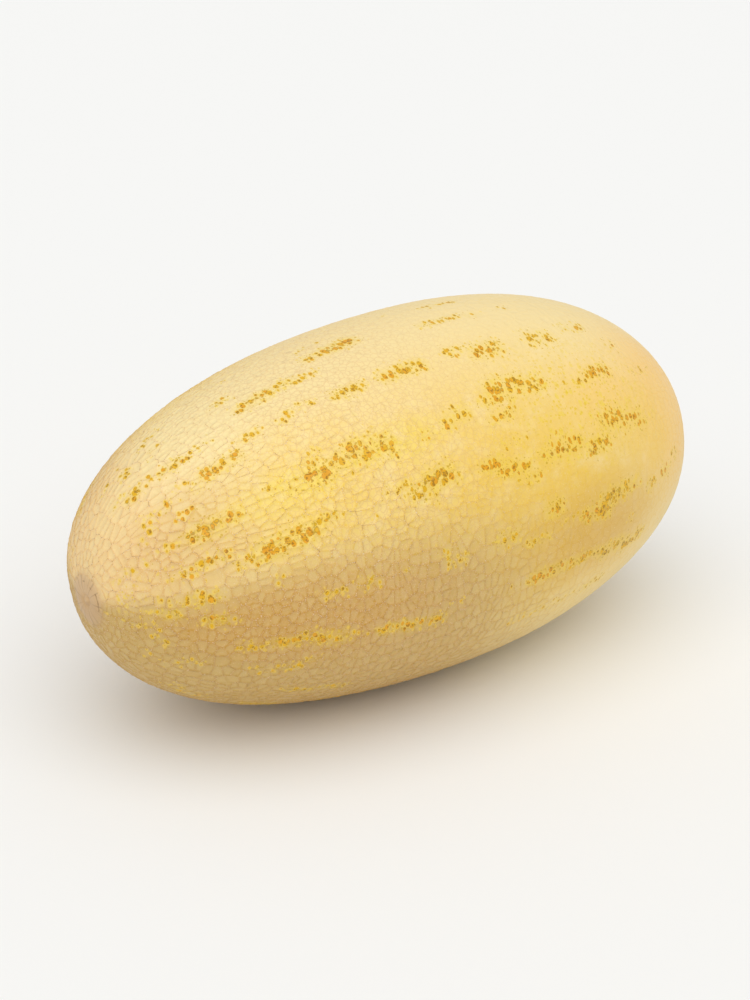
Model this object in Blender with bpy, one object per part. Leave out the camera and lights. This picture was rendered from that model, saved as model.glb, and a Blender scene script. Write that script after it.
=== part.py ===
# A long netted melon with a yellow rind, lying on its side, whole and without its stalk.
# Metres, +Z up. The blossom end points to -X and the stem end to +X. The origin lies on the
# resting surface, under the middle of the melon.
#
# The fruit is one solid. Its skin is a turned outline, a little flattened underneath. Raised
# cork net lines cover it, with a round scar at the blossom end and the stub of the stalk in a
# shallow hollow at the stem end. The net here is about three times as coarse as on the fruit.
#
# The skin is drawn on a flat map first and then wrapped round the fruit. A point of the map is
# its place along the fruit, its angle round it (0 on top, a quarter turn at -Y) and its rise
# over the skin. Both directions of the map are stretched alike, so that cells keep their form.

import math

import bmesh
import bpy
import numpy as np
from mathutils import Vector
from mathutils.geometry import delaunay_2d_cdt

# Body
HALF_LENGTH = 0.165
BELLY_RADIUS = 0.0857
OUTLINE_POWER = 2.21  # 2 is an ellipse, and more is blunter at the ends
STEM_END_FULLNESS = 0.041  # how much the radius grows from the middle to the stem end
UNDERSIDE_FLATTENING = 0.03
PITCH = math.radians(1.0)  # lifts the stem end, which brings the weight over the flat spot
REST_SPOT_DEPTH = 0.0010  # how far the resting plane cuts into the skin between the net lines

# Shallow swellings of the skin: rise, waves round the fruit, waves along it, phase
SWELLINGS = [
    (0.0005, 3, 0.4, 1.1),
    (0.0003, 5, -0.8, 2.6),
]

# Net
NET_PITCH = 0.0160  # width of a cell
RIM_CROWDING = 0.5  # cells are at most this share of the fruit's radius wide
BLOSSOM_END_STRETCH = 1.35  # length over width of the cells at the blossom end
NET_SCATTER = 0.27  # how far a cell's seed strays from an even spiral, in cell widths
RIDGE_SHARE = 0.115  # half width of a net line, in cell widths
RIDGE_HEIGHT = 0.0012
STEM_END_RIDGE_HEIGHT = 0.0007
CELL_BULGE = 0.0003
SEED = 7

# Ends. Each ring of an end is a share of the rim's radius and a rise over the skin.
BLOSSOM_SCAR_RADIUS = 0.0115
BLOSSOM_SCAR_RINGS = [(0.86, 0.0002), (0.62, 0.0007), (0.34, 0.0006), (0.20, -0.0003), (0.09, 0.0009)]
STEM_HOLLOW_RADIUS = 0.0095
STEM_END_RINGS = [(0.84, 0.0003), (0.62, -0.0012), (0.46, -0.0011), (0.40, 0.0018), (0.22, 0.0022)]
RIM_POINTS = 12  # points that the net adds round each rim, besides its own

SHARP_ANGLE = math.radians(50)
RIND_COLOUR = (0.86, 0.66, 0.29, 1)
RIND_ROUGHNESS = 0.5

GOLDEN_ANGLE = math.pi * (3 - math.sqrt(5))
FULL_TURN = 2 * math.pi
OUTLINE_STEPS = 4000
TIP_RADIUS = 1e-5  # keeps the map finite at the tips
SAME_PLACE = 1e-5  # points closer than this are one point


def smooth(value, low, high):
    """0 below low, 1 above high, and an S curve between them."""
    share = np.clip((value - low) / (high - low), 0, 1)
    return share * share * (3 - 2 * share)


def running_total(amount, along):
    """The integral of a table along the outline, from its start."""
    return np.concatenate([[0], np.cumsum(np.diff(along) * (amount[1:] + amount[:-1]) / 2)])


class Outline:
    """The turned outline as tables from the blossom tip to the stem tip.

    share is the place on the axis in half lengths from the middle, place is the map's coordinate,
    and cells is how many cells of the net lie before a place.
    """

    def __init__(self):
        turn = np.linspace(0, math.pi, OUTLINE_STEPS)
        power = 2 / OUTLINE_POWER
        self.share = -np.sign(np.cos(turn)) * np.abs(np.cos(turn)) ** power
        self.x = HALF_LENGTH * self.share
        fullness = 1 + STEM_END_FULLNESS * self.share
        self.radius = np.maximum(BELLY_RADIUS * np.sin(turn) ** power * fullness, TIP_RADIUS)
        along = np.concatenate([[0], np.cumsum(np.hypot(np.diff(self.x), np.diff(self.radius)))])
        slope_x, slope_radius = np.gradient(self.x, along), np.gradient(self.radius, along)
        steepness = np.hypot(slope_x, slope_radius)
        self.normal_x, self.normal_radius = -slope_radius / steepness, slope_x / steepness
        stretch = 1 + (BLOSSOM_END_STRETCH - 1) * smooth(-self.share, 0.1, 0.9)
        self.place = running_total(1 / (stretch * self.radius), along)
        self.cell_angle = np.minimum(NET_PITCH / self.radius, RIM_CROWDING)
        self.cells = running_total(FULL_TURN / (stretch * self.radius * self.cell_angle**2), along)
        self.ridge = RIDGE_HEIGHT + (STEM_END_RIDGE_HEIGHT - RIDGE_HEIGHT) * smooth(self.share, -0.1, 0.8)

    def place_at_radius(self, radius, end):
        """Where the outline has this radius, near the end on side -1 or +1."""
        near = self.share * end > 0.7
        order = np.argsort(self.radius[near])
        return float(np.interp(radius, self.radius[near][order], self.place[near][order]))


OUTLINE = Outline()


def wrapped(points):
    """Points of the map, in space."""
    place, around, rise = points.T
    x = np.interp(place, OUTLINE.place, OUTLINE.x)
    radius = np.interp(place, OUTLINE.place, OUTLINE.radius)
    for height, waves_round, waves_along, phase in SWELLINGS:
        turn = waves_round * around + waves_along * FULL_TURN * x / HALF_LENGTH + phase
        rise = rise + height * radius / BELLY_RADIUS * np.sin(turn)
    x = x + rise * np.interp(place, OUTLINE.place, OUTLINE.normal_x)
    radius = radius + rise * np.interp(place, OUTLINE.place, OUTLINE.normal_radius)
    y = -radius * np.sin(around)
    z = radius * np.cos(around)
    flattened = 1 - UNDERSIDE_FLATTENING * (1 - (x / HALF_LENGTH) ** 2)
    z = np.where(z < 0, z * flattened, z)
    pitched_x = x * math.cos(PITCH) - z * math.sin(PITCH)
    pitched_z = x * math.sin(PITCH) + z * math.cos(PITCH)
    return np.stack([pitched_x, y, pitched_z], axis=1)


def rest_level():
    """The height of the plane that the fruit rests on, before the fruit is set on z = 0."""
    keel = np.stack([OUTLINE.place, np.full(OUTLINE_STEPS, math.pi), np.zeros(OUTLINE_STEPS)], axis=1)
    return wrapped(keel)[:, 2].min() + REST_SPOT_DEPTH


def scattered_seeds(rims):
    """One seed for each cell, spiralling from rim to rim at an even spacing, then scattered."""
    first, last = np.interp(rims, OUTLINE.place, OUTLINE.cells)
    count = round(last - first)
    number = np.arange(count)
    place = np.interp(first + (number + 0.5) * (last - first) / count, OUTLINE.cells, OUTLINE.place)
    spacing = np.interp(place, OUTLINE.place, OUTLINE.cell_angle)
    rng = np.random.default_rng(SEED)
    scatter = rng.uniform(-NET_SCATTER, NET_SCATTER, (2, count)) * spacing
    around = np.mod(number * GOLDEN_ANGLE + scatter[0], FULL_TURN)
    place = np.clip(place + scatter[1], rims[0] + spacing / 3, rims[1] - spacing / 3)
    return np.stack([place, around], axis=1)


def net_cells(seeds, rims):
    """The corners of each cell of the net, in order.

    Copies of the seeds a turn to each side close the net round the fruit, and a ring of extra seeds
    beyond each rim bounds the cells there. A corner is the middle of three neighbouring seeds, and
    one that belongs to an extra seed is moved onto its rim.
    """
    step = FULL_TURN / RIM_POINTS
    ring = (np.arange(RIM_POINTS) + 0.5) * step
    beyond = [np.stack([np.full(RIM_POINTS, place), ring], axis=1) for place in (rims[0] - step, rims[1] + step)]
    one_turn = np.concatenate([seeds, *beyond])
    points = np.concatenate([one_turn + [0, turn] for turn in (0, -FULL_TURN, FULL_TURN)])
    triangles, origins = delaunay_2d_cdt([Vector(point) for point in points], [], [], 0, 1e-7)[2:4]
    cells = [[] for _ in seeds]
    for triangle in triangles:
        members = [origins[index][0] for index in triangle]
        middle = points[members].mean(axis=0)
        if any(member % len(one_turn) >= len(seeds) for member in members):
            middle[0] = min(rims, key=lambda rim: abs(rim - middle[0]))
        for member in members:
            if member < len(seeds):
                bearing = math.atan2(*(middle - seeds[member]))
                cells[member].append((bearing, *middle))
    return [[corner[1:] for corner in sorted(cell)] for cell in cells]


def draw_net(mesh, seeds, cells):
    """Draws each cell at the height of the net's crests, and sinks its floor inside its own ridge."""
    floors = []
    for seed, cell in zip(seeds, cells):
        crest = [np.interp(place, OUTLINE.place, OUTLINE.ridge) for place, _ in cell]
        floor = mesh.faces.new([mesh.verts.new((*corner, rise)) for corner, rise in zip(cell, crest)])
        floor.normal_update()
        width = RIDGE_SHARE * float(np.interp(seed[0], OUTLINE.place, OUTLINE.cell_angle))
        bmesh.ops.inset_individual(mesh, faces=[floor], thickness=width, use_even_offset=True)
        for vert in floor.verts:
            vert.co.z = 0
        floors.append(floor)
    for vert in bmesh.ops.poke(mesh, faces=floors)["verts"]:
        vert.co.z = CELL_BULGE


def draw_end(mesh, rim, radius, rings, end):
    """Carries the net's edge on towards the tip, ring by ring."""
    edges = [edge for edge in mesh.edges if all(abs(vert.co.x - rim) < SAME_PLACE for vert in edge.verts)]
    for share, rise in rings:
        made = bmesh.ops.extrude_edge_only(mesh, edges=edges)["geom"]
        ring = {item for item in made if isinstance(item, bmesh.types.BMVert)}
        for vert in ring:
            vert.co.x = OUTLINE.place_at_radius(radius * share, end)
            vert.co.z = rise
        edges = [item for item in made if isinstance(item, bmesh.types.BMEdge) and ring.issuperset(item.verts)]


def wrap(mesh):
    """Wraps the map round the fruit, centres it over the origin and presses its underside flat on z = 0."""
    points = wrapped(np.array([vert.co for vert in mesh.verts], dtype=float))
    middle = (points.min(axis=0) + points.max(axis=0)) / 2
    points -= (middle[0], middle[1], rest_level())
    points[:, 2] = np.maximum(points[:, 2], 0)
    for vert, point in zip(mesh.verts, points):
        vert.co = point


def melon_mesh():
    rims = [
        OUTLINE.place_at_radius(BLOSSOM_SCAR_RADIUS, -1),
        OUTLINE.place_at_radius(STEM_HOLLOW_RADIUS, 1),
    ]
    seeds = scattered_seeds(rims)
    mesh = bmesh.new()
    draw_net(mesh, seeds, net_cells(seeds, rims))
    draw_end(mesh, rims[0], BLOSSOM_SCAR_RADIUS, BLOSSOM_SCAR_RINGS, -1)
    draw_end(mesh, rims[1], STEM_HOLLOW_RADIUS, STEM_END_RINGS, 1)
    wrap(mesh)
    bmesh.ops.remove_doubles(mesh, verts=mesh.verts, dist=SAME_PLACE)
    bmesh.ops.holes_fill(mesh, edges=[edge for edge in mesh.edges if edge.is_boundary])
    bmesh.ops.recalc_face_normals(mesh, faces=mesh.faces)
    data = bpy.data.meshes.new("melon")
    mesh.to_mesh(data)
    mesh.free()
    data.shade_smooth()
    data.set_sharp_from_angle(angle=SHARP_ANGLE)
    return data


def rind_material():
    material = bpy.data.materials.new("rind")
    material.use_nodes = True
    shader = material.node_tree.nodes["Principled BSDF"]
    shader.inputs["Base Color"].default_value = RIND_COLOUR
    shader.inputs["Roughness"].default_value = RIND_ROUGHNESS
    shader.inputs["Metallic"].default_value = 0.0
    return material


def main():
    for old in list(bpy.data.objects):
        bpy.data.objects.remove(old)
    collection = bpy.data.collections.new("netted_melon")
    bpy.context.scene.collection.children.link(collection)
    melon = bpy.data.objects.new("melon", melon_mesh())
    melon.data.materials.append(rind_material())
    collection.objects.link(melon)


main()
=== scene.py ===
import math

import bmesh
import bpy
import numpy as np
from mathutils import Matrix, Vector
from mathutils.geometry import delaunay_2d_cdt


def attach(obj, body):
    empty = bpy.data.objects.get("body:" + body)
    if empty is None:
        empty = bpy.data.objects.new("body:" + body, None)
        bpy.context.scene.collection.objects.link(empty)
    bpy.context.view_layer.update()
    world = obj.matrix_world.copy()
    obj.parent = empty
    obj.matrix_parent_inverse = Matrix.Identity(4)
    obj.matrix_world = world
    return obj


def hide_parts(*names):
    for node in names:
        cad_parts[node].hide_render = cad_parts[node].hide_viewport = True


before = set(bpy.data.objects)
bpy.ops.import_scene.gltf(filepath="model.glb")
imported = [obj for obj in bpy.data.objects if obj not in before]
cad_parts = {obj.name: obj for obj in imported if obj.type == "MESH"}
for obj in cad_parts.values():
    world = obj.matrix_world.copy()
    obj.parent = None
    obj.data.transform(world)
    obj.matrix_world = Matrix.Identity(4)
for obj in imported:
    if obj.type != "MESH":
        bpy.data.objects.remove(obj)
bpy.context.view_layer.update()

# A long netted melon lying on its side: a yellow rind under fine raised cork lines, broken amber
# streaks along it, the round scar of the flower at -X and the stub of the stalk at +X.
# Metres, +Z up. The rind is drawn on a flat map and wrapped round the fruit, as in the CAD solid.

mm = 0.001
fullTurn = 2 * math.pi

body = {
    "halfLength": 165 * mm,
    "bellyRadius": 85.7 * mm,
    "outlinePower": 2.21,  # 2 is an ellipse, and more is blunter at the ends
    "stemEndFullness": 0.041,  # how much the radius grows from the middle to the stem end
    "undersideFlattening": 0.03,
    "pitch": math.radians(1),  # lifts the stem end
    # shallow swellings: rise, waves round, waves along and phase
    "swellings": [(0.5 * mm, 3, 0.4, 1.1), (0.3 * mm, 5, -0.8, 2.6)],
    "outlineSteps": 4000,
    "tipRadius": 0.01 * mm,  # keeps the map finite at the tips
    "endsBeyond": 0.7,  # share of the half length past which a radius is looked up
    "axis": (-0.66 * mm, -0.35 * mm, 81.56 * mm),  # where the middle of the melon's axis lies in the frame
}


# 0 below low, 1 above high, and an S curve between them
def smooth(value, low, high):
    share = np.clip((value - low) / (high - low), 0, 1)
    return share * share * (3 - 2 * share)


# Integral of a table along the outline, by trapezoids
def runningTotal(amount, along):
    return np.concatenate([[0], np.cumsum(np.diff(along) * (amount[1:] + amount[:-1]) / 2)])


net = {
    "rows": (146, 98, 66, 44, 29),  # places for cells round the fruit, from the belly to the ends
    "narrowest": 2.5 * mm,  # where the places of a row count would get narrower, the next one begins
    "blossomEndStretch": 1.2,  # length over width of a place at the blossom end
    "stretchOver": (0.1, 0.9),  # where that starts and is full, in half lengths from the middle
    "scatter": (0.14, 0.09),  # how far a cell strays along its longer side and across it, in places
    "shift": 0.4,  # how far a whole row of long cells or column of tall ones is shifted, in places
    "drift": 1.2 * mm,  # how far rows and columns bend away from straight lines, at the belly
    "driftSize": 60 * mm,  # size of their bends
    "single": 0.06,  # share of the cells that take one place, the others take two
    # cells two places long and two places high: middle and reach in mm along and degrees down
    "longZone": ((85, 15), (75, 62)),
    "tallZone": ((140, 98), (120, 38)),
    "zonePull": 2.5,  # how far these outweigh the random patches of long and tall cells
    "zoneSize": 26 * mm,  # size of the patches
    "fromBorder": 0.2,  # how near a cell may stray to where the count of rows changes, in places
    "seamMargin": 6,  # how many places past its seam the map is repeated
    "samePoint": 1e-7,  # map points closer than this are one
    "onRim": 1e-6,  # and closer than this to a rim, on it
    "cornerRounding": 0.15,  # 0 keeps the cells' corners square, and 1 makes them honeycomb-like
    "wander": 0.12,  # how far the middle of a line strays sideways, in line lengths
    "mostWander": 0.5,  # and at most this share of the cork's half width
    "shortestLine": 0.001 * mm,
    "ridgeHeight": 0.42 * mm,
    "cornerRange": (0.85, 1.2),  # of the ridges' height where they meet
    "lineRange": (0.7, 1.1),  # and at their middles
    "ridgeHalfWidth": 0.7 * mm,
    "widthRange": (0.75, 1.25),  # of the half width, from cell to cell
    "footRange": (0.85, 1.15),  # and from one foot of the ridge to the next
    "lowerBelow": 0.75,  # a ridge narrower than this share of the half width is lower
    "mostCork": 0.42,  # the half width is at most this share of the way from a line to its cell's middle
    "cellBulge": 0.14 * mm,
    "bulgeRange": (0.4, 1.3),
    "gaps": 0.07,  # share of the lines that stay unformed
    "formedRange": (0.5, 1),  # how far the others formed
    "fullCorner": 1.9,  # a corner is full where the strengths of its three lines add up to this
    # where the net starts to fade: mm along on top, mm more for each degree down, and the last degree
    "fadesFrom": (60, 1.15, 110),
    "fadesOver": 110,  # mm along
    "faintest": 0.15,
    "flatRidge": 0.25,  # what a ridge would keep of its height with no strength left
    "flatBulge": 0.4,
    "seed": 11,
}


# Tables along the outline from the blossom tip to the stem tip. Its half is a superellipse,
# x = -cos^(2/p) and radius = sin^(2/p), and place = the integral of ds over stretch times radius,
# so that the map keeps the form of small cells.
def turnedOutline():
    turn = np.linspace(0, math.pi, body["outlineSteps"])
    power = 2 / body["outlinePower"]
    share = -np.sign(np.cos(turn)) * np.abs(np.cos(turn)) ** power
    x = body["halfLength"] * share
    radius = body["bellyRadius"] * np.sin(turn) ** power * (1 + body["stemEndFullness"] * share)
    radius = np.maximum(radius, body["tipRadius"])
    along = np.concatenate([[0], np.cumsum(np.hypot(np.diff(x), np.diff(radius)))])
    slopeX, slopeRadius = np.gradient(x, along), np.gradient(radius, along)
    steepness = np.hypot(slopeX, slopeRadius)
    stretch = 1 + (net["blossomEndStretch"] - 1) * smooth(-share, *net["stretchOver"])
    return {
        "share": share, "x": x, "radius": radius, "along": along, "stretch": stretch,
        "normalX": -slopeRadius / steepness, "normalRadius": slopeX / steepness,
        "place": runningTotal(1 / (stretch * radius), along),
    }


outline = turnedOutline()


# A column of the outline's tables at these places of the map
def at(place, name):
    return np.interp(place, outline["place"], outline[name])


# The place near one end (-1 or +1) where the outline has this radius
def placeAtRadius(radius, end):
    near = outline["share"] * end > body["endsBeyond"]
    order = np.argsort(outline["radius"][near])
    return np.interp(radius, outline["radius"][near][order], outline["place"][near][order])


# Map to space: the outline turned round X, moved out by the rise and the swellings, flattened
# below its axis and pitched
def wrapped(place, around, rise):
    x, radius = at(place, "x"), at(place, "radius")
    for height, wavesRound, wavesAlong, phase in body["swellings"]:
        turn = wavesRound * around + wavesAlong * fullTurn * x / body["halfLength"] + phase
        rise = rise + height * radius / body["bellyRadius"] * np.sin(turn)
    x, radius = x + rise * at(place, "normalX"), radius + rise * at(place, "normalRadius")
    z = radius * np.cos(around)
    z = np.where(z < 0, z * (1 - body["undersideFlattening"] * (1 - (x / body["halfLength"]) ** 2)), z)
    cosine, sine = math.cos(body["pitch"]), math.sin(body["pitch"])
    return np.stack([x * cosine - z * sine, -radius * np.sin(around), x * sine + z * cosine], axis=1)


# Angle down from the top of the fruit, either way round, in degrees
def degreesDown(around):
    return np.degrees(np.abs(np.mod(around + math.pi, fullTurn) - math.pi))


patchCore = 0.1  # share of its reach over which a soft patch is full


# A soft patch on the skin: 1 in its middle and 0 past its reach (mm along, degrees down)
def patch(place, around, middle, reach):
    alongShare = (at(place, "along") / mm - middle[0]) / reach[0]
    downShare = (degreesDown(around) - middle[1]) / reach[1]
    return 1 - smooth(np.hypot(alongShare, downShare), patchCore, 1)


# Each end is turned from a profile: share of its radius and rise in mm
scar = {
    "radius": 11.5 * mm,
    "profile": [
        (1, 0.3), (0.92, 0.2), (0.8, 0.35), (0.62, 0.6), (0.34, 0.5), (0.2, -0.3), (0.09, 0.7), (0, 0.75),
    ],
    "rings": 20,
    "furrows": 0.1 * mm,  # depth of the fine lines that run in to the middle
    "skinFades": (0.55, 1.5),  # where its skin's colour starts to fade and is gone, in radii
    "rimWidth": 0.9 * mm,
    "tears": [(8.7, -18, -9), (8.1, 24, 36), (9.3, 52, 104)],  # mm from the tip, from and to in degrees
    "tearWidth": 0.65 * mm,
}
stub = {
    "radius": 9.5 * mm,
    "profile": [
        (1, 0.3), (0.84, 0.3), (0.62, -1.1), (0.46, -1.0), (0.4, 1.7), (0.22, 2.1), (0.12, 1.5), (0, 1.4),
    ],
    "rings": 24,
    "furrows": 0.09 * mm,
    "skinFades": (0.8, 1.2),
}
ends = {
    "ringPoints": 112,
    "firstRing": 0.97,  # about where the outermost ring lies, in radii
    "crowding": 0.9,  # below 1 the rings lie closer towards the rim
    "tip": 0.004,  # where the point that closes the end lies, in radii
    "furrowsRound": (13, 19, 29, 37, 43),  # sine waves round each ring
    "waveRange": (0.3, 1),  # of their heights
}


print("outline drawn,", round(outline["along"][-1] / mm), "mm along the skin")


slowWaves = 12
slowWavesOver = 2.5  # brings a slow field's usual size to about 1


# A slow random field over the map, about 0: the sum of sine waves in space, which have no seam
def slowField(place, around, size, rng):
    spot = wrapped(place, around, 0)
    waves = rng.normal(0, 1, (slowWaves, 3)) * fullTurn / size
    phase = rng.uniform(0, fullTurn, slowWaves)
    return np.sin(spot @ waves.T + phase).sum(axis=1) / slowWavesOver


# One seed for each cell, and the width of its place on the map. Rows run along the fruit, each one
# turn / rows wide, with places as long as wide. A long cell takes two places of a row and a tall
# one two places of a column, so every other seed goes there. Each seed is scattered, and all of
# them drift by a slow field, so that no row or column stays straight.
def rowSeeds(rims, rng):
    borderRadius = np.array(net["rows"])[:-1] * net["narrowest"] / fullTurn
    borders = np.concatenate([
        [rims[0]], placeAtRadius(borderRadius[::-1], -1), placeAtRadius(borderRadius, 1), [rims[1]],
    ])
    seeds, widths = [], []
    for rows, start, end in zip(net["rows"][:0:-1] + net["rows"], borders[:-1], borders[1:]):
        width = fullTurn / rows
        columns = max(round((end - start) / width), 1)
        row, column = np.divmod(np.arange(rows * columns), columns)
        spot = np.stack([start + (column + 0.5) * (end - start) / columns, (row + 0.5) * width])
        longOnes = net["zonePull"] * (patch(*spot, *net["longZone"]) - patch(*spot, *net["tallZone"]))
        longOnes = longOnes + slowField(*spot, net["zoneSize"], rng) > 0
        scatter = rng.uniform(-1, 1, (2, rows * columns)) * np.array(net["scatter"])[:, None]
        rowShift = rng.uniform(-net["shift"], net["shift"], rows)
        columnShift = rng.uniform(-net["shift"], net["shift"], columns)
        cellAlong = column + 0.5 + np.where(longOnes, scatter[0] + rowShift[row], scatter[1])
        cellRound = row + 0.5 + np.where(longOnes, scatter[1], scatter[0] + columnShift[column])
        cellAlong = np.clip(cellAlong, net["fromBorder"], columns - net["fromBorder"])
        place = start + cellAlong * (end - start) / columns
        kept = np.where(longOnes, column, row) % 2 == 0
        kept = kept | (rng.uniform(0, 1, rows * columns) < net["single"] / 2)
        seeds.append(np.stack([place, np.mod(cellRound * width, fullTurn)], axis=1)[kept])
        widths.append(np.full(kept.sum(), width))
    seeds = np.concatenate(seeds)
    driftRng = np.random.default_rng(net["seed"] + 2)
    drift = [slowField(*seeds.T, net["driftSize"], driftRng) for way in ("along", "round")]
    seeds = seeds + net["drift"] / body["bellyRadius"] * np.stack(drift, axis=1)
    seeds[:, 1] = np.mod(seeds[:, 1], fullTurn)
    return seeds, np.concatenate(widths)


# Difference of two map points, the short way round
def shortWay(difference):
    return np.stack([difference[:, 0], np.mod(difference[:, 1] + math.pi, fullTurn) - math.pi], axis=1)


# How many metres a step of 1 on the map is, along and round: stretch times radius, and radius
def stepSize(point):
    radius = at(point[:, 0], "radius")
    return np.stack([at(point[:, 0], "stretch") * radius, radius], axis=1)


# Triangles between neighbouring seeds once round the fruit, as seed numbers, and the corner of the
# net in each: between the middle of the circle through its seeds and their mean. Seeds near the
# seam are copied a turn away, and a ring of extra seeds bounds the net at each rim.
def neighbourTriangles(seeds, widths, rims):
    width = fullTurn / net["rows"][-1]
    ring = np.arange(0, fullTurn - width / 2, width)
    outside = (rims[0] - width, rims[1] + width)
    beyond = [np.stack([np.full(len(ring), place), ring], axis=1) for place in outside]
    oneTurn = np.concatenate([seeds, *beyond])
    margin = net["seamMargin"] * np.append(widths, np.full(2 * len(ring), width))
    after = np.nonzero(oneTurn[:, 1] < margin)[0]
    before = np.nonzero(oneTurn[:, 1] > fullTurn - margin)[0]
    points = np.concatenate([oneTurn, oneTurn[after] + [0, fullTurn], oneTurn[before] - [0, fullTurn]])
    number = np.concatenate([np.arange(len(oneTurn)), after, before])
    triangles, sources = delaunay_2d_cdt(points.tolist(), [], [], 0, net["samePoint"])[2:4]
    triangles = np.array([source[0] for source in sources])[np.array(triangles)]
    origin = points[triangles[:, 0]]
    second, third = points[triangles[:, 1]] - origin, points[triangles[:, 2]] - origin
    doubleArea = second[:, 0] * third[:, 1] - second[:, 1] * third[:, 0]
    secondSquare, thirdSquare = (second**2).sum(axis=1), (third**2).sum(axis=1)
    circleAlong = third[:, 1] * secondSquare - second[:, 1] * thirdSquare
    circleRound = second[:, 0] * thirdSquare - third[:, 0] * secondSquare
    circle = origin + np.stack([circleAlong, circleRound], axis=1) / (2 * doubleArea[:, None])
    corner = circle + (points[triangles].mean(axis=1) - circle) * net["cornerRounding"]
    triangles[doubleArea < 0] = triangles[doubleArea < 0][:, ::-1]
    middle = points[triangles].mean(axis=1)
    once = (middle[:, 1] >= 0) & (middle[:, 1] < fullTurn) & (number[triangles] < len(seeds)).any(axis=1)
    return number[triangles[once]], corner[once], len(oneTurn)


# How strongly the net stands out: full at the blossom end, fading along the fruit, first on top
def netStrength(place, around):
    onTop, perDegree, lastDegree = net["fadesFrom"]
    fadesFrom = onTop + perDegree * np.minimum(degreesDown(around), lastDegree)
    faded = smooth(at(place, "along") / mm, fadesFrom, fadesFrom + net["fadesOver"])
    return 1 - (1 - net["faintest"]) * faded


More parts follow.
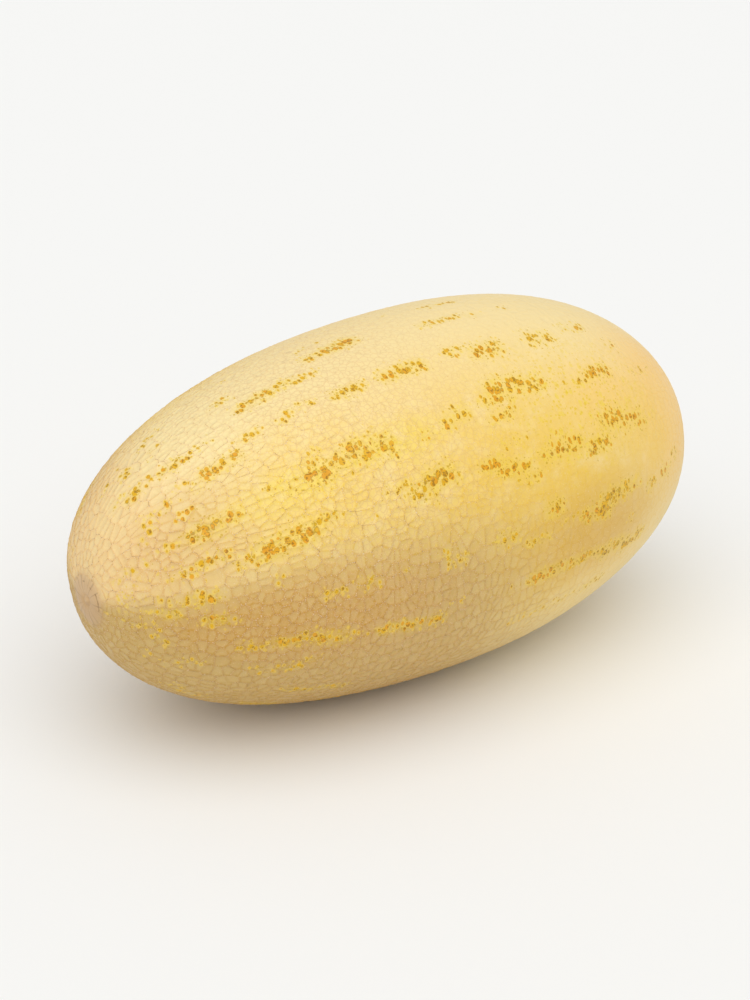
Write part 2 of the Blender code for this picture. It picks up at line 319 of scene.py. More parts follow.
# The rind's net as points of the map and triangles. Each cell has a middle and a floor, whose feet
# lie a share of the way from the cell's corners to its middle, and the cork slopes up from there to
# the line that the cell shares with its neighbour. A ridge rises by its height, times how far it
# formed, its room and a random factor, and less where the net fades.
def drawNet(rims):
    rng = np.random.default_rng(net["seed"])
    seeds, widths = rowSeeds(rims, rng)
    triangles, corner, allSeeds = neighbourTriangles(seeds, widths, rims)
    count, sideCount = len(seeds), triangles.size
    atRim = (triangles >= count).any(axis=1)
    corner[atRim, 0] = np.where(corner[atRim, 0] < np.mean(rims), rims[0], rims[1])

    # each side of a triangle crosses one line of the net, which runs from the triangle on the
    # side's right to its own
    start, end = triangles.ravel(), triangles[:, [1, 2, 0]].ravel()
    key, twinKey = start * allSeeds + end, end * allSeeds + start
    order = np.argsort(key)
    twin = order[np.minimum(np.searchsorted(key[order], twinKey), sideCount - 1)]
    inside = start < count
    assert (key[twin] == twinKey)[inside].all(), "the net is open at its seam"
    side = np.arange(sideCount)
    left, right = side // 3, twin // 3
    rightFoot = 3 * (twin // 3) + (twin % 3 + 1) % 3
    lineNumber = np.unique(np.minimum(key, twinKey), return_inverse=True)[1]
    lineCount = lineNumber.max() + 1

    # cell middles, and how far each lies from its lines
    cellOfSide = np.minimum(start, count - 1)
    toCorner = shortWay(corner[left] - seeds[cellOfSide])
    total, number = np.zeros((count, 2)), np.zeros(count)
    np.add.at(total, start[inside], toCorner[inside])
    np.add.at(number, start[inside], 1)
    middle = seeds + total / number[:, None]
    step = stepSize(corner[left])
    run = shortWay(corner[left] - corner[right])
    length = np.maximum(np.linalg.norm(run * step, axis=1), net["shortestLine"])
    across = np.stack([-run[:, 1], run[:, 0]], axis=1) * step[:, ::-1] / length[:, None]
    toMiddle = shortWay(middle[cellOfSide] - corner[left])
    depth = np.abs((toMiddle * step * across).sum(axis=1))

    # the floor is the cell drawn in towards its middle by a share that gives the cork its half width
    meanDepth = np.bincount(start[inside], depth[inside], count) / number
    width = net["ridgeHalfWidth"] * rng.uniform(*net["widthRange"], count)
    drawnIn = np.minimum(width / meanDepth, net["mostCork"])[cellOfSide]
    foot = corner[left] + toMiddle * (drawnIn * rng.uniform(*net["footRange"], sideCount))[:, None]

    # middles of the lines, strayed sideways by less than the cork beside them
    onRim = inside & (end >= count)
    beside = drawnIn * depth
    beside = np.where(onRim, beside, np.minimum(beside, beside[twin]))
    mostStray = net["mostWander"] * beside / length
    stray = rng.normal(0, net["wander"], lineCount)[lineNumber] * np.where(key < twinKey, 1, -1) * ~onRim
    stray = np.clip(stray, -mostStray, mostStray)
    lineMiddle = corner[right] + run / 2 + np.stack([-run[:, 1], run[:, 0]], axis=1) * stray[:, None]
    line = np.zeros((lineCount, 2))
    line[lineNumber[inside]] = lineMiddle[inside]

    # how far each line formed, from 0 to 1
    unformed = (rng.uniform(0, 1, lineCount) < net["gaps"])[lineNumber] & ~onRim
    formed = rng.uniform(*net["formedRange"], lineCount)[lineNumber] * ~unformed
    lineStrength = np.zeros(lineCount)
    lineStrength[lineNumber[inside]] = formed[inside]
    cornerStrength = lineStrength[lineNumber].reshape(-1, 3).sum(axis=1) / net["fullCorner"]
    cornerStrength = np.clip(cornerStrength, 0, 1)

    # where the cork is narrow it is lower too, so that its sides never get steep
    room = np.clip(beside / (net["lowerBelow"] * net["ridgeHalfWidth"]), 0, 1)
    lineRoom = np.ones(lineCount)
    lineRoom[lineNumber[inside]] = room[inside]
    cornerRoom = lineRoom[lineNumber].reshape(-1, 3).min(axis=1)

    # points in order: corners, line middles, feet, cells
    points = np.concatenate([corner, line, foot, middle])
    first = np.cumsum([0, len(corner), lineCount, sideCount])
    low = np.zeros(sideCount + count)
    onCorners = rng.uniform(*net["cornerRange"], len(corner))
    onLines = rng.uniform(*net["lineRange"], lineCount)
    unevenness = np.concatenate([onCorners * cornerRoom, onLines * lineRoom, low])
    crest = np.concatenate([cornerStrength, lineStrength, np.zeros(sideCount), -np.ones(count)])
    strength = netStrength(*points.T)
    ridgeShare = net["flatRidge"] + (1 - net["flatRidge"]) * strength
    rise = net["ridgeHeight"] * np.maximum(crest, 0) * unevenness * ridgeShare
    bulgeShare = net["flatBulge"] + (1 - net["flatBulge"]) * strength[first[3]:]
    rise[first[3]:] += net["cellBulge"] * rng.uniform(*net["bulgeRange"], count) * bulgeShare
    cell = np.concatenate([np.full(first[2], -1), cellOfSide, np.arange(count)])

    # four triangles a side: three from its feet up to the line, and one of the floor
    crown, heart = first[1] + lineNumber, first[3] + cellOfSide
    footA, footB = first[2] + rightFoot, first[2] + side
    slope = (footA, crown, right), (footA, footB, crown), (footB, left, crown)
    faces = [np.stack(three, axis=1)[inside] for three in (*slope, (heart, footB, footA))]
    faces = np.concatenate(faces)
    loops = []
    for rim in rims:
        here = np.unique(np.concatenate([left[onRim], right[onRim], crown[onRim]]))
        here = here[np.abs(points[here, 0] - rim) < net["onRim"]]
        loops.append(here[np.argsort(np.mod(points[here, 1], fullTurn))])
    cellTone = rng.uniform(0, 1, count)
    return points, rise, crest, cell, cellTone, faces, loops


# Faces between a ring of any points and a ring of others, both in order of angle: every point in
# the joint order makes a triangle with the last point before it on either ring
def zipRings(outer, outerAngle, inner, innerAngle):
    angle = np.concatenate([outerAngle, innerAngle])
    fromOuter = np.concatenate([np.ones(len(outer), bool), np.zeros(len(inner), bool)])
    number = np.concatenate([outer, inner])
    order = np.argsort(angle, kind="stable")
    fromOuter, number = fromOuter[order], number[order]
    lastOuter = outer[(np.cumsum(fromOuter) - fromOuter - 1) % len(outer)]
    lastInner = inner[(np.cumsum(~fromOuter) - ~fromOuter - 1) % len(inner)]
    return np.stack([lastOuter, number, lastInner], axis=1)


# One end of the fruit: rings of its profile with fine furrows that run in to the middle, closed by
# a fan at the tip. A furrow is half the sum of sine waves round the ring, and its depth goes with
# the root of the ring's radius.
def drawEnd(form, end, rng):
    share = np.linspace(ends["firstRing"], 0, form["rings"] + 1)[:-1] ** ends["crowding"]
    profile = np.array(form["profile"])[::-1]
    ringPoints = ends["ringPoints"]
    angle = np.arange(ringPoints) * fullTurn / ringPoints
    waves = np.array(ends["furrowsRound"])[:, None]
    height = rng.uniform(*ends["waveRange"], waves.shape)
    waves = height * np.sin(waves * angle + rng.uniform(0, fullTurn, waves.shape))
    furrow = waves.sum(axis=0) / 2 * np.sqrt(share)[:, None]
    rise = np.interp(share, *profile.T)[:, None] * mm + form["furrows"] * furrow
    place = placeAtRadius(form["radius"] * share, end)[:, None] + np.zeros(ringPoints)
    points = np.stack([place.ravel(), np.tile(angle, len(share))], axis=1)
    points = np.concatenate([points, [[placeAtRadius(form["radius"] * ends["tip"], end), 0]]])
    rise, furrow = np.append(rise, profile[0, 1] * mm), np.append(furrow, 0)
    grid = np.arange(len(share) * ringPoints).reshape(len(share), ringPoints)
    across = np.roll(grid, -1, axis=1)
    fan = np.stack([grid[-1], across[-1], np.full(ringPoints, len(points) - 1)], axis=1)
    halves = (grid[:-1], across[:-1], across[1:]), (grid[:-1], across[1:], grid[1:])
    faces = np.concatenate([np.stack(half, axis=-1).reshape(-1, 3) for half in halves] + [fan])
    return points, rise, furrow, faces, angle


# The amber streaks: from and to in mm along the skin from the blossom tip, degrees round from the
# top towards -Y, width in mm, how full of amber it is, and how ripe (0 olive, 1 orange)
streaks = [
    # over the top
    (47, 52, -18, 3, 0.5, 0.2), (56, 61, -11, 3, 0.5, 0.2), (45, 50, 2, 4, 0.6, 0.2),
    (59, 62, -18, 3, 0.45, 0.2), (71, 75, -14, 3, 0.5, 0.1), (79, 86, -15, 3, 0.6, 0.1),
    (117, 127, -14, 3, 0.35, 0.1), (169, 177, -7, 3, 0.3, 0.1), (229, 248, -5, 4, 0.6, 0.4),
    (58, 62, -8, 4, 0.6, 0.2), (67, 69, -3, 3, 0.4, 0.2), (73, 77, -5, 4, 0.6, 0.2),
    (104, 108, -1, 4, 0.5, 0.2), (111, 114, -2, 5, 0.7, 0.5), (157, 174, -6, 3, 0.5, 0.2),
    (157, 168, 1, 5, 0.8, 0.7), (168, 182, 1, 6, 1.0, 0.9), (203, 210, -9, 3, 0.35, 0.3),
    (216, 236, 6, 4, 0.75, 0.5), (242, 247, 7, 4, 0.7, 0.3),
    (256, 266, 6, 3, 0.4, 0.2),
    # upper side
    (51, 56, 8, 5, 0.85, 0.6), (59, 65, 8, 4, 0.6, 0.5), (70, 77, 12, 5, 0.8, 0.8),
    (79, 92, 13, 4, 0.5, 0.3), (114, 122, 8, 5, 0.9, 0.7), (124, 128, 8, 6, 1.0, 0.9),
    (130, 133, 8, 4, 0.8, 0.5), (135, 142, 8, 5, 0.9, 0.5), (143, 153, 9, 4, 0.6, 0.4),
    (66, 69, 23, 4, 0.5, 0.6), (72, 74, 24, 3, 0.4, 0.2), (75, 80, 29, 4, 0.7, 0.8),
    (81, 85, 26, 5, 0.9, 0.8), (87, 91, 26, 5, 0.9, 0.8), (94, 98, 26, 5, 0.9, 0.8),
    (103, 112, 21, 4, 0.7, 0.3), (123, 125, 22, 4, 0.6, 0.8), (127, 134, 20, 4, 0.6, 0.4),
    (138, 140, 20, 4, 0.6, 0.3), (152, 165, 22, 5, 0.9, 0.5), (178, 197, 22, 6, 1.0, 0.6),
    (215, 220, 21, 5, 0.8, 0.5), (228, 239, 24, 7, 0.95, 0.8), (261, 271, 24, 7, 0.75, 0.4),
    (285, 298, 21, 5, 0.65, 0.8), (307, 313, 30, 5, 0.5, 0.9), (58, 62, 28, 5, 0.6, 0.6),
    (59, 62, 35, 4, 0.5, 0.9), (44, 50, 33, 4, 0.6, 0.3), (67, 70, 37, 5, 0.6, 0.9),
    (48, 54, 27, 4, 0.6, 0.4), (55, 60, 46, 4, 0.7, 0.4), (48, 53, 48, 3, 0.5, 0.3),
    (28, 46, 48, 4, 0.35, 0.2),
    # shoulder
    (65, 76, 47, 6, 1.0, 0.9), (78, 85, 46, 5, 0.95, 0.8), (103, 107, 43, 4, 0.7, 0.3),
    (96, 98, 46, 3, 0.4, 0.1), (112, 121, 45, 6, 0.6, 0.4), (122, 125, 40, 4, 0.6, 0.5),
    (127, 129, 38, 4, 0.6, 0.2), (121, 127, 45, 7, 1.0, 0.9), (127, 130, 46, 5, 0.85, 0.8),
    (130, 133, 43, 4, 0.8, 0.5), (135, 142, 43, 6, 1.0, 0.6), (138, 140, 48, 3, 0.4, 0.2),
    (142, 147, 40, 5, 0.9, 0.7), (144, 148, 44, 6, 1.0, 0.5), (150, 154, 38, 4, 0.5, 0.2),
    (154, 158, 43, 7, 0.95, 0.7), (158, 161, 44, 6, 0.95, 0.5), (160, 163, 47, 4, 0.6, 0.4),
    (179, 181, 45, 4, 0.6, 0.5), (190, 193, 44, 5, 0.9, 0.6), (198, 202, 42, 6, 0.95, 0.7),
    (213, 226, 41, 4, 0.85, 0.7), (222, 236, 38, 7, 1.0, 0.6), (237, 249, 40, 6, 1.0, 0.6),
    (227, 229, 43, 3, 0.6, 0.3), (214, 224, 47, 5, 0.7, 0.9), (225, 227, 46, 4, 0.6, 0.5),
    (263, 271, 43, 4, 0.45, 0.3), (274, 279, 43, 5, 0.75, 0.5), (284, 294, 41, 6, 0.8, 0.7),
    (315, 330, 43, 5, 0.4, 0.3),
    # flank
    (42, 48, 59, 3, 0.4, 0.3), (50, 55, 62, 4, 0.6, 0.5), (57, 61, 62, 4, 0.7, 0.9),
    (62, 68, 61, 4, 0.8, 0.6), (70, 76, 60, 4, 0.8, 0.7),
    (80, 90, 65, 5, 0.7, 0.7), (91, 96, 63, 7, 1.0, 0.9), (97, 103, 62, 6, 0.9, 0.8),
    (103, 107, 62, 7, 0.95, 0.7), (109, 114, 61, 7, 1.0, 0.8), (114, 117, 60, 4, 0.8, 0.6),
    (118, 125, 59, 4, 0.7, 0.4), (129, 131, 59, 3, 0.4, 0.3), (141, 143, 63, 3, 0.5, 0.5),
    (151, 159, 58, 4, 0.5, 0.3), (158, 162, 57, 4, 0.8, 0.8), (163, 170, 61, 6, 0.8, 0.5),
    (172, 182, 58, 7, 1.0, 0.7), (186, 191, 60, 4, 0.5, 0.3), (201, 209, 60, 5, 0.9, 0.9),
    (212, 220, 63, 6, 0.9, 0.9), (213, 215, 56, 4, 0.6, 0.3), (221, 224, 63, 5, 0.8, 0.5),
    (223, 226, 55, 4, 0.5, 0.4), (223, 228, 67, 4, 0.9, 0.9), (236, 255, 62, 6, 0.9, 0.9),
    (241, 249, 58, 4, 0.45, 0.3), (263, 273, 65, 6, 0.95, 0.7), (273, 279, 62, 6, 0.4, 0.9),
    (277, 290, 58, 8, 0.9, 0.9), (291, 304, 61, 7, 0.7, 0.9), (308, 313, 62, 5, 0.4, 0.8),
    # belly side
    (42, 47, 77, 4, 0.6, 0.5), (49, 54, 77, 4, 0.7, 0.5), (57, 66, 76, 5, 0.85, 0.5),
    (92, 95, 75, 4, 0.5, 0.2), (35, 41, 84, 4, 0.6, 0.3), (44, 49, 84, 4, 0.9, 0.4),
    (61, 68, 88, 4, 0.9, 0.6), (69, 74, 87, 4, 0.5, 0.3), (111, 122, 84, 4, 0.6, 0.1),
    (130, 136, 83, 5, 0.7, 0.4), (171, 175, 81, 5, 0.6, 0.5), (175, 179, 84, 5, 0.7, 0.4),
    (180, 182, 84, 3, 0.6, 0.3), (151, 153, 82, 3, 0.5, 0.2), (201, 210, 83, 5, 0.75, 0.4),
    (217, 228, 87, 4, 0.7, 0.4), (231, 236, 79, 6, 0.9, 0.8), (239, 250, 84, 3, 0.4, 0.2),
    (253, 262, 85, 6, 0.9, 0.7), (262, 267, 86, 6, 1.0, 0.6),
    (262, 265, 82, 4, 0.7, 0.4), (266, 272, 83, 6, 1.0, 0.3), (272, 284, 82, 6, 0.9, 0.2),
    (285, 292, 82, 5, 0.75, 0.8), (300, 305, 86, 5, 0.6, 0.3), (314, 320, 85, 5, 0.7, 0.9),
    (327, 333, 82, 5, 0.4, 0.4),
    # low down
    (11, 28, 93, 2, 0.5, 0.1), (28, 44, 95, 2, 0.5, 0.1), (39, 43, 105, 5, 0.5, 0.1),
    (76, 88, 102, 4, 0.6, 0.3), (90, 100, 101, 5, 0.8, 0.6),
    (103, 109, 99, 5, 0.7, 0.5), (110, 122, 101, 6, 0.9, 0.7), (121, 127, 101, 4, 0.4, 0.4),
    (132, 137, 102, 3, 0.3, 0.3), (140, 150, 102, 5, 0.9, 0.5), (151, 159, 103, 5, 0.9, 0.9),
    (163, 171, 103, 5, 0.7, 0.5), (174, 182, 99, 4, 0.3, 0.3), (209, 217, 101, 4, 0.4, 0.3),
    (221, 239, 100, 5, 1.0, 0.8), (244, 254, 100, 5, 0.9, 0.5), (256, 264, 100, 4, 0.8, 0.1),
    (266, 280, 102, 6, 1.0, 0.1), (283, 296, 105, 5, 0.9, 0.1), (292, 296, 102, 3, 0.6, 0.1),
    (282, 288, 94, 4, 0.35, 0.4), (36, 50, 122, 4, 0.45, 0.2), (54, 60, 115, 4, 0.5, 0.3),
    (83, 92, 116, 4, 0.6, 0.2), (94, 104, 114, 4, 0.6, 0.3), (104, 110, 111, 4, 0.6, 0.2),
    (214, 236, 116, 4, 0.6, 0.3), (238, 251, 116, 4, 0.5, 0.3), (261, 272, 116, 4, 0.75, 0.1),
    (103, 131, 130, 4, 0.65, 0.2),
]
hiddenStreaks = {
    "rows": range(150, 335, 21),  # degrees round, on the side away from the photo
    "stray": 2.2,  # how far a dash strays from its row, in degrees
    "perRow": 13,
    "between": (30, 350),  # mm along
    "length": (4, 17),
    "gap": (5, 26),
    "width": (3, 7),
    "amount": (0.35, 1),
    "seed": 5,
}
streakForm = {
    "edge": (0.2, 0.85),  # where a streak starts to fall off and is gone, in widths from its middle line
    "halo": 1.8,  # how many times wider the yellow round it is
    "ripenessElsewhere": 0.4,
}


# Rows of dashes for the side that the photo doesn't show, laid end to end along the fruit with
# random lengths, gaps, widths and ripeness
def hiddenDashes():
    rng = np.random.default_rng(hiddenStreaks["seed"])
    count = hiddenStreaks["perRow"]
    first, last = hiddenStreaks["between"]
    rows = []
    for degrees in hiddenStreaks["rows"]:
        length = rng.uniform(*hiddenStreaks["length"], count)
        end = first + np.cumsum(rng.uniform(*hiddenStreaks["gap"], count) + length)
        away = degrees + rng.normal(0, hiddenStreaks["stray"], count)
        width = rng.uniform(*hiddenStreaks["width"], count)
        amount = rng.uniform(*hiddenStreaks["amount"], count)
        ripeness = rng.uniform(0, 1, count)
        dashes = np.stack([end - length, end, away, width, amount, ripeness], axis=1)
        rows.append(dashes[end < last])
    return np.concatenate(rows)


# How full of amber a place is and how ripe: each streak has its amount along its middle line and
# falls off smoothly with the distance from it, and the fullest streak wins
def streakField(place, around, widen):
    along, radius = at(place, "along") / mm, at(place, "radius") / mm
    full, ripe = np.zeros(len(place)), np.full(len(place), streakForm["ripenessElsewhere"])
    fallsFrom, goneAt = streakForm["edge"]
    for start, end, degrees, width, amount, ripeness in np.concatenate([streaks, hiddenDashes()]):
        turn = np.mod(around - math.radians(degrees) + math.pi, fullTurn) - math.pi
        outside = np.maximum(np.maximum(start - along, along - end), 0)
        distance = np.hypot(outside, radius * turn)
        here = amount * (1 - smooth(distance, fallsFrom * width * widen, goneAt * width * widen))
        ripe = np.where(here > full, ripeness, ripe)
        full = np.maximum(full, here)
    return full, ripe


# Where the skin changes, partly by painted glow and highlight: soft patches, as middle and reach in mm
# along and degrees down, and amount
zones = {
    # partly the rind's own yellow, partly a painted glow of light: the flank that faces the camera drawn in
    # a deeper yellow
    "yellowAndPaintedGlowSide": [
        ((200, 76), (195, 72), 1), ((120, 54), (85, 48), 1), ((225, 96), (75, 36), 1),
        ((300, 68), (55, 38), 0.7),
    ],
    # partly the rind's own yellow, partly a painted highlight on the upper flank
    "yellowAndPaintedHighlight": [((108, 46), (42, 13), 1), ((165, 44), (40, 10), 1)],
    "deepYellow": [((100, 92), (110, 32), 1), ((62, 50), (60, 44), 0.6), ((262, 92), (80, 32), 0.6)],
    "speckled": [((265, 50), (80, 34), 1), ((27, 66), (16, 30), 1)],
    "rosyEnd": [((20, 50), (95, 110), 1)],
    "peachEnd": [((345, 58), (85, 70), 1), ((290, 50), (60, 26), 0.7)],
}
masks = {
    "underside": (52, 98),  # degrees down where the painted shade below starts and is full: the lower side drawn darker and duller
    "stemHalf": (150, 270),  # mm along where the stem half starts and is full
    "undersideLoss": 0.85,  # how much of the painted shade below the stem half takes away
    "veinsFrom": (60, 150),  # mm along where the fine veins start to thicken and are full
    "fewestVeins": 0.4,
    "veinsLoss": 0.92,  # how much of the veins the stem half takes away
    "toneRange": 0.4,  # how much less pale the dullest cell is
    # painted shade: how much less pale the cells are on the lower side
    "paintedShadeOnPaleness": 0.3,
    "amberByCell": 0.3,  # how much of a place's amber is the same all over its cell
    "amberOnLines": 0.8,
    "nearStreak": (0.05, 0.3),  # halo where a streak's surroundings start and are full
}


# Brown tears in the blossom scar: arcs round the tip that fall off as a bell curve of distance
def scarTears(place, around):
    along, radius = at(place, "along"), at(place, "radius")
    mark = np.zeros(len(place))
    for fromTip, start, end in scar["tears"]:
        turn = np.degrees(np.mod(around - math.radians(start) + math.pi, fullTurn) - math.pi)
        beyond = np.radians(np.maximum(np.maximum(-turn, turn - (end - start)), 0)) * radius
        distance = np.hypot(along - fromTip * mm, beyond)
        mark = np.maximum(mark, np.exp(-(distance / scar["tearWidth"]) ** 2))
    return mark


# Puts the net and both ends together, wraps them, lays the lowest points on the floor, and writes
# the mesh with a mask for each thing that the material needs to know of a place
def makeRind():
    rims = [float(placeAtRadius(form["radius"], end)) for form, end in ((scar, -1), (stub, 1))]
    points, rise, crest, cell, cellTone, faces, loops = drawNet(rims)
    netCount, cellCount = len(points), len(cellTone)
    middle = points[netCount - cellCount:]
    faces, furrow = [faces], np.zeros(netCount)
    rng = np.random.default_rng(net["seed"] + 1)
    for form, end, loop in ((scar, -1, loops[0]), (stub, 1, loops[1])):
        endPoints, endRise, endFurrow, endFaces, angle = drawEnd(form, end, rng)
        first = len(points)
        loopAngle = np.mod(points[loop, 1], fullTurn)
        faces += [endFaces + first, zipRings(loop, loopAngle, first + np.arange(len(angle)), angle)]
        points = np.concatenate([points, endPoints])
        rise, furrow = np.append(rise, endRise), np.append(furrow, endFurrow)
    extra = np.zeros(len(points) - netCount)
    crest, cell = np.append(crest, extra), np.append(cell, extra - 1).astype(int)
    cellFull = streakField(*middle.T, 1)[0]

    # points that no triangle uses go, and the others are numbered again
    used, faces = np.unique(np.concatenate(faces), return_inverse=True)
    faces = faces.reshape(-1, 3)
    points, rise, furrow, crest, cell = points[used], rise[used], furrow[used], crest[used], cell[used]
    place, around = points.T
    space = wrapped(place, around, rise) + body["axis"]
    space[:, 2] = np.maximum(space[:, 2], 0)

    full, ripe = streakField(place, around, 1)
    halo = streakField(place, around, streakForm["halo"])[0]
    strength, down, along = netStrength(place, around), degreesDown(around), at(place, "along") / mm
    share, radius = at(place, "share"), at(place, "radius")
    stemHalf = smooth(along, *masks["stemHalf"])
    # painted shade below: darker and duller from the flank down, less of it towards the stem end
    under = smooth(down, *masks["underside"]) * (1 - masks["undersideLoss"] * stemHalf)
    veins = masks["fewestVeins"] + (1 - masks["fewestVeins"]) * smooth(along, *masks["veinsFrom"])
    tone = np.where(cell >= 0, cellTone[cell], 0.5)
    tone = 1 - masks["toneRange"] + masks["toneRange"] * tone
    byCell = masks["amberByCell"] * cellFull[cell] + (1 - masks["amberByCell"]) * full
    values = {
        "crest": crest,  # 1 on the lines, 0 at their foot and -1 in the middle of a cell
        "furrow": furrow,
        "netStrength": strength,
        "hairlines": strength**2,
        "veins": veins * (1 - masks["veinsLoss"] * stemHalf),
        # the cells are less pale where the shade below is painted
        "paleness": strength * tone * (1 - masks["paintedShadeOnPaleness"] * under),
        "corkLine": np.maximum(crest, 0) * strength,
        "amber": np.where(cell >= 0, byCell, masks["amberOnLines"] * full),
        "ripeness": ripe,
        "halo": halo,
        # the painted shade on the lower side
        "nearStreak": smooth(halo, *masks["nearStreak"]),
        "underside": under,
        "blossomScar": (1 - smooth(radius / scar["radius"], *scar["skinFades"])) * (share < 0),
        "scarRim": np.exp(-((radius - scar["radius"]) / scar["rimWidth"]) ** 2) * (share < 0),
        "scarTears": scarTears(place, around),
        "stalkStub": (1 - smooth(radius / stub["radius"], *stub["skinFades"])) * (share > 0),
    }
    for name, patches in zones.items():
        values[name] = np.max([most * patch(place, around, *where) for *where, most in patches], axis=0)

    edges = np.sort(faces[:, [[0, 1], [1, 2], [2, 0]]].reshape(-1, 2), axis=1)
    facesOnEdge = np.unique(edges, axis=0, return_counts=True)[1]
    data = bpy.data.meshes.new("netted_rind")
    data.from_pydata(space, [], faces.tolist())
    for name, value in values.items():
        data.attributes.new(name, "FLOAT", "POINT").data.foreach_set("value", value.astype(np.float32))
    mesh = bmesh.new()
    mesh.from_mesh(data)
    bmesh.ops.recalc_face_normals(mesh, faces=mesh.faces)
    print("rind:", len(space), "points,", len(faces), "triangles,", cellCount, "cells,",
          (facesOnEdge != 2).sum(), "open edges,", round(mesh.calc_volume() * 1000, 3), "litres")
    mesh.to_mesh(data)
    mesh.free()
    data.shade_smooth()
    rind = bpy.data.objects.new("netted_rind", data)
    bpy.context.scene.collection.objects.link(rind)
    return rind


# sRGB hex to linear red, green and blue, by the standard's formula, and an alpha of 1
def colour(hexValue):
    parts = [int(hexValue[i:i + 2], 16) / 255 for i in (1, 3, 5)]
    return [part / 12.92 if part <= 0.04045 else ((part + 0.055) / 1.055) ** 2.4 for part in parts] + [1]


# Adds a node, sets its settings by name, fills its inputs with sockets or values, gives an output
def addNode(tree, kind, inputs, output=0, **settings):
    node = tree.nodes.new("ShaderNode" + kind)
    for name, value in settings.items():
        setattr(node, name, value)
    for name, value in inputs.items():
        if isinstance(value, bpy.types.NodeSocket):
            tree.links.new(value, node.inputs[name])
        else:
            node.inputs[name].default_value = value
    return node.outputs[output]


rindFinish = {
    "skin": "#F5DC9C",
    # yellow of the flank facing the camera: partly the rind's own, partly a painted glow of light
    "yellowAndPaintedGlow": "#EFC43F",
    # bright yellow of the upper flank: partly the rind's own, partly a painted highlight
    "yellowAndPaintedHighlight": "#F1D040",
    "rosy": "#EEC07A",
    "peach": "#FBCC78",
    # painted shade: the darker tan that the lower side is drawn in
    "deepYellow": "#C58C1C",
    "underside": "#C09741",
    "pale": "#FBF0B8",  # middles of the cells
    "cork": "#E9BD86",
    "hairline": "#8A6428",
    # whitish flecks: partly pale cork, partly painted highlights, glints of sheen on the cork
    "fleck": "#F8E8CC",
    "haloYellow": "#EFCF38",
    "haloOrange": "#F2BC74",
    "amber": "#E4B00C",
    "orange": "#E49F10",
    "olive": "#C8A018",
    "chipRim": "#D2A81C",
    "yolk": "#E8C222",
    "burnt": "#96690C",
    "scarSkin": "#C8A47A",
    "scarLines": "#8A6C4C",
    "speck": "#CCA41C",
    "tear": "#8A6028",
    "stalkCork": "#A98A5E",
    "roughness": 0.42,
    "corkRoughness": 0.62,
    "raggedness": 0.9 * mm,  # how far the outlines of chips and veins are pulled about
    "chipSize": (2.4 * mm, 3.5 * mm, 3.5 * mm),  # amber chips are shorter along the fruit than across it
    "chipsFrom": 0.4,  # a lower limit makes the chips larger
    "chipEdge": (0.05, 0.13),  # how far above it their amber starts and is full
    "speckSize": 1.4 * mm,
    "specksFrom": 0.41,
    "veinSize": 2.7 * mm,
    "fleckSize": 1.2 * mm,
    "breakSize": 2.4 * mm,
    "mottleSize": 9 * mm,
    "grainSize": 0.5 * mm,
    "grainDepth": 0.05 * mm,
    "grainStrength": 0.6,
    "dryOver": (0.5, 1.05),  # where a cell's side starts to roughen and is as rough as cork
    "ior": 1.45,
}


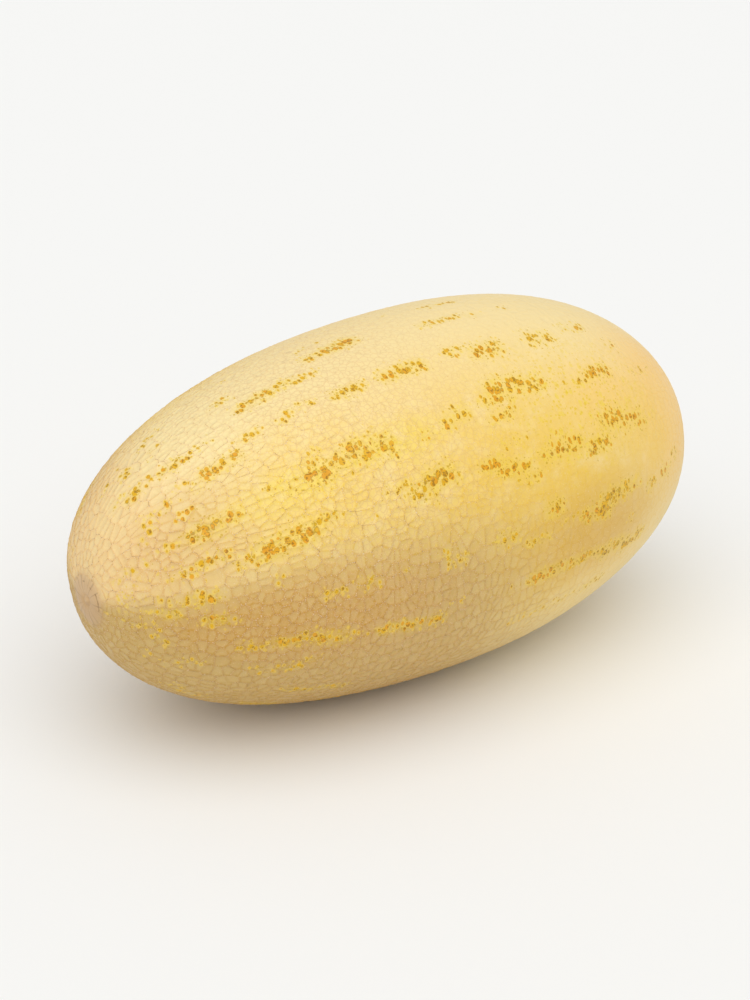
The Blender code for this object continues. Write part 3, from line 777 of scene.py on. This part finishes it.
# Melon rind, grown: a thin waxy skin, matt to satin, under lines of dry cork that has cracked open
# as the fruit swelled. The eye gets pale polished cells in a dull pinkish net, and amber chips
# where the skin is bare in broken rows.
def rindMaterial():
    look = rindFinish
    material = bpy.data.materials.new("grown_melon_rind")
    material.use_nodes = True
    tree = material.node_tree
    shader = tree.nodes["Principled BSDF"]
    place = addNode(tree, "TexCoord", {}, "Object")
    names = (
        "crest", "corkLine", "furrow", "netStrength", "hairlines", "veins", "paleness", "amber", "ripeness",
        "halo", "nearStreak", "underside", "blossomScar", "scarRim", "scarTears", "stalkStub", *zones,
    )
    mask = {name: addNode(tree, "Attribute", {}, "Fac", attribute_name=name) for name in names}
    for name in ("mottle", "break", "fleck", "grain"):
        mask[name] = addNode(tree, "TexNoise", {"Vector": place, "Scale": 1 / look[name + "Size"]}, "Fac")

    # the chips, specks and veins lie in cells of space, whose outlines are ragged
    pull = addNode(tree, "TexNoise", {"Vector": place, "Scale": 1 / look["fleckSize"]}, "Color")
    reach = [look["raggedness"]] * 3
    ragged = addNode(tree, "VectorMath", {0: pull, 1: reach, 2: place}, operation="MULTIPLY_ADD")
    chipScale = [1 / size for size in look["chipSize"]]
    chipPlace = addNode(tree, "Mapping", {"Vector": ragged, "Scale": chipScale})
    chips = addNode(tree, "TexVoronoi", {"Vector": chipPlace, "Scale": 1.0}).node
    specks = addNode(tree, "TexVoronoi", {"Vector": ragged, "Scale": 1 / look["speckSize"]}).node
    veinCells = {"Vector": ragged, "Scale": 1 / look["veinSize"]}
    veins = addNode(tree, "TexVoronoi", veinCells, feature="DISTANCE_TO_EDGE")
    chipDraw = addNode(tree, "SeparateColor", {"Color": chips.outputs["Color"]}).node
    speckDraw = addNode(tree, "SeparateColor", {"Color": specks.outputs["Color"]}, "Green")

    # sums of masks and random draws: each is a list of a mask or socket and its factor
    sums = {
        "cell": [("crest", 1), ("fleck", 0.5)],
        "line": [("crest", 1), ("break", 0.3)],
        "chip": [("amber", 1), ("nearStreak", 0.2), (chipDraw.outputs["Red"], 0.4),
                 (chips.outputs["Distance"], -1.85), ("fleck", 0.25), ("corkLine", -0.15)],
        "speck": [("halo", 0.3), (speckDraw, 0.5), (specks.outputs["Distance"], -1), ("fleck", 0.25)],
        "burnt": [("amber", 1), (chips.outputs["Distance"], -1.35), ("fleck", 0.9)],
        "hue": [("ripeness", 1), (chipDraw.outputs["Blue"], 0.7), ("fleck", 0.4)],
        "around": [("halo", 1), ("fleck", 0.7)],
        "tear": [("scarTears", 1), ("break", 1)],
        "yellowSpeck": [(specks.outputs["Distance"], 1), ("fleck", 0.3), (speckDraw, 1)],
        "yellowBlot": [(chips.outputs["Distance"], 1), ("fleck", 0.5), (chipDraw.outputs["Green"], 0.9)],
    }
    for name, parts in sums.items():
        total = 0.0
        for part, factor in parts:
            source = mask[part] if isinstance(part, str) else part
            total = addNode(tree, "Math", {0: source, 1: factor, 2: total}, operation="MULTIPLY_ADD")
        mask[name] = total

    # from the bottom up: the mask and the values where its layer is bare and full, how much it
    # covers at most, what else scales it, and its colour
    chip, speck = look["chipsFrom"], look["specksFrom"]
    low, high = [chip + edge for edge in look["chipEdge"]]
    mask["inChip"] = addNode(tree, "MapRange", {"Value": mask["chip"], "From Min": low, "From Max": high})
    layers = [
        ("rosyEnd", 0, 1, 0.8, "", "rosy"),
        ("peachEnd", 0, 1, 0.8, "", "peach"),
        # deeper yellow on the flank facing the camera, partly a painted glow of light
        ("mottle", -0.1, 0.6, 0.95, "yellowAndPaintedGlowSide", "yellowAndPaintedGlow"),
        # painted shade on the lower side
        ("underside", 0, 1, 1, "", "underside"),
        ("deepYellow", 0, 1, 0.7, "", "deepYellow"),
        # bright yellow on the upper flank, partly a painted highlight
        ("mottle", 0.1, 0.6, 0.7, "yellowAndPaintedHighlight", "yellowAndPaintedHighlight"),
        ("cell", 0.85, 0, 0.3, "paleness", "pale"),
        ("yellowBlot", 0.85, 0.7, 0.6, "speckled", "haloYellow"),
        ("yellowSpeck", 0.8, 0.65, 0.8, "speckled", "yolk"),
        ("cell", 0.75, 1.15, 0.35, "netStrength", "cork"),
        (veins, 0.2, 0.05, 0.25, "veins", "cork"),
        (veins, 0.05, 0.01, 0.16, "veins", "hairline"),
        ("line", 0.98, 1.12, 0.75, "hairlines", "hairline"),
        # pale cork flecks with painted glints of sheen, along the lines and scattered over the skin
        ("grain", 0.52, 0.6, 0.4, "corkLine", "fleck"),
        ("grain", 0.6, 0.7, 0.3, "", "fleck"),
        ("around", 0.7, 1.4, 0.25, "", "haloYellow"),
        ("chip", chip - 0.45, chip - 0.1, 0.55, "nearStreak", "haloYellow"),
        ("chip", chip - 0.15, chip, 0.5, "", "haloOrange"),
        ("speck", speck, speck + 0.1, 0.8, "nearStreak", "speck"),
        ("chip", chip - 0.02, chip + 0.04, 1, "", "chipRim"),
        ("burnt", chip + 0.2, chip + 0.28, 0.5, "nearStreak", "burnt"),
        ("inChip", 0, 1, 1, "", "amber"),
        ("hue", 1.0, 1.45, 0.9, "inChip", "orange"),
        ("hue", 0.7, 0.4, 0.8, "inChip", "olive"),
        ("fleck", 0.48, 0.42, 0.75, "inChip", "burnt"),
        ("blossomScar", 0, 1, 0.8, "", "scarSkin"),
        ("furrow", 0.1, 0.8, 0.4, "", "scarLines"),
        ("break", 0.5, 0.62, 0.2, "scarRim", "scarLines"),
        ("tear", 1.1, 1.55, 0.85, "", "tear"),
        ("stalkStub", 0, 1, 0.9, "", "stalkCork"),
    ]
    mixed = colour(look["skin"])
    for source, bare, full, most, scale, tint in layers:
        source = mask[source] if isinstance(source, str) else source
        cover = {"Value": source, "From Min": bare, "From Max": full, "To Max": most}
        share = addNode(tree, "MapRange", cover, interpolation_type="SMOOTHSTEP")
        if scale:
            share = addNode(tree, "Math", {0: share, 1: mask[scale]}, operation="MULTIPLY")
        mixed = addNode(tree, "Mix", {0: share, 6: mixed, 7: colour(look[tint])}, 2, data_type="RGBA")
    low, high = look["dryOver"]
    dryness = addNode(tree, "MapRange", {
        "Value": mask["cell"], "From Min": low, "From Max": high,
        "To Min": look["roughness"], "To Max": look["corkRoughness"],
    })
    bump = addNode(tree, "Bump", {
        "Height": mask["grain"], "Distance": look["grainDepth"], "Strength": look["grainStrength"],
    })
    for name, source in (("Base Color", mixed), ("Roughness", dryness), ("Normal", bump)):
        tree.links.new(source, shader.inputs[name])
    shader.inputs["IOR"].default_value = look["ior"]
    return material


studio = {
    "lens": 85,  # mm, on a sensor this many mm wide
    "sensor": 36,
    "azimuth": math.radians(-37.09),  # round from looking along +Y
    "elevation": math.radians(25.22),
    "distance": 1111.7 * mm,  # from the melon's axis
    "aimLeft": 6.8 * mm,  # the camera's line passes this far left of the melon's middle
    "aimBelow": 1.6 * mm,
    "floorSize": 12.0,
    "floor": "#F2F2F0",
    "floorRoughness": 0.9,
    "room": "#FFFFFF",
    "roomStrength": 0.6,
    "softboxAngle": math.radians(80),  # how wide the light above looks from the fruit
    "softboxTilt": math.radians(25),  # how far the light stands off the zenith, towards the camera
    "softboxStrength": 1.57,
    "softboxHeight": 2.0,
}


# A flat square floor, far larger than the view, at the height of the flat spot
def makeFloor():
    half = studio["floorSize"] / 2
    corners = [(-half, -half, 0), (half, -half, 0), (half, half, 0), (-half, half, 0)]
    data = bpy.data.meshes.new("paper_floor")
    data.from_pydata(corners, [], [(0, 1, 2, 3)])
    floor = bpy.data.objects.new("paper_floor", data)
    bpy.context.scene.collection.objects.link(floor)
    material = bpy.data.materials.new("matt_white_paper")
    material.use_nodes = True
    shader = material.node_tree.nodes["Principled BSDF"]
    shader.inputs["Base Color"].default_value = colour(studio["floor"])
    shader.inputs["Roughness"].default_value = studio["floorRoughness"]
    data.materials.append(material)


# The camera stands at the photo's angle: back is the way from the melon to it
def makeCamera():
    azimuth, elevation = studio["azimuth"], studio["elevation"]
    level = math.cos(elevation)
    back = Vector((math.sin(azimuth) * level, -math.cos(azimuth) * level, math.sin(elevation)))
    right = Vector((math.cos(azimuth), math.sin(azimuth), 0))
    up = back.cross(right)
    aim = Vector(body["axis"]) - right * studio["aimLeft"] - up * studio["aimBelow"]
    camera = bpy.data.objects.new("camera", bpy.data.cameras.new("camera"))
    camera.data.lens, camera.data.sensor_width = studio["lens"], studio["sensor"]
    camera.location = aim + back * studio["distance"]
    camera.rotation_mode = "QUATERNION"
    camera.rotation_quaternion = (-back).to_track_quat("-Z", "Y")
    bpy.context.scene.collection.objects.link(camera)
    bpy.context.scene.camera = camera


# A white room and one wide soft light above
def makeLight():
    world = bpy.data.worlds.new("white_room")
    world.use_nodes = True
    background = world.node_tree.nodes["Background"]
    background.inputs["Color"].default_value = colour(studio["room"])
    background.inputs["Strength"].default_value = studio["roomStrength"]
    bpy.context.scene.world = world
    light = bpy.data.lights.new("softbox", "SUN")
    light.angle, light.energy = studio["softboxAngle"], studio["softboxStrength"]
    softbox = bpy.data.objects.new("softbox", light)
    softbox.location = (0, 0, studio["softboxHeight"])
    softbox.rotation_euler = (studio["softboxTilt"], 0, studio["azimuth"])
    bpy.context.scene.collection.objects.link(softbox)


makeCamera()
makeLight()
makeFloor()
print("studio set")
rind = makeRind()
rind.data.materials.append(rindMaterial())
print("rind finished")

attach(rind, "root")
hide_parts("melon")
bpy.context.scene.view_settings.view_transform = "Standard"
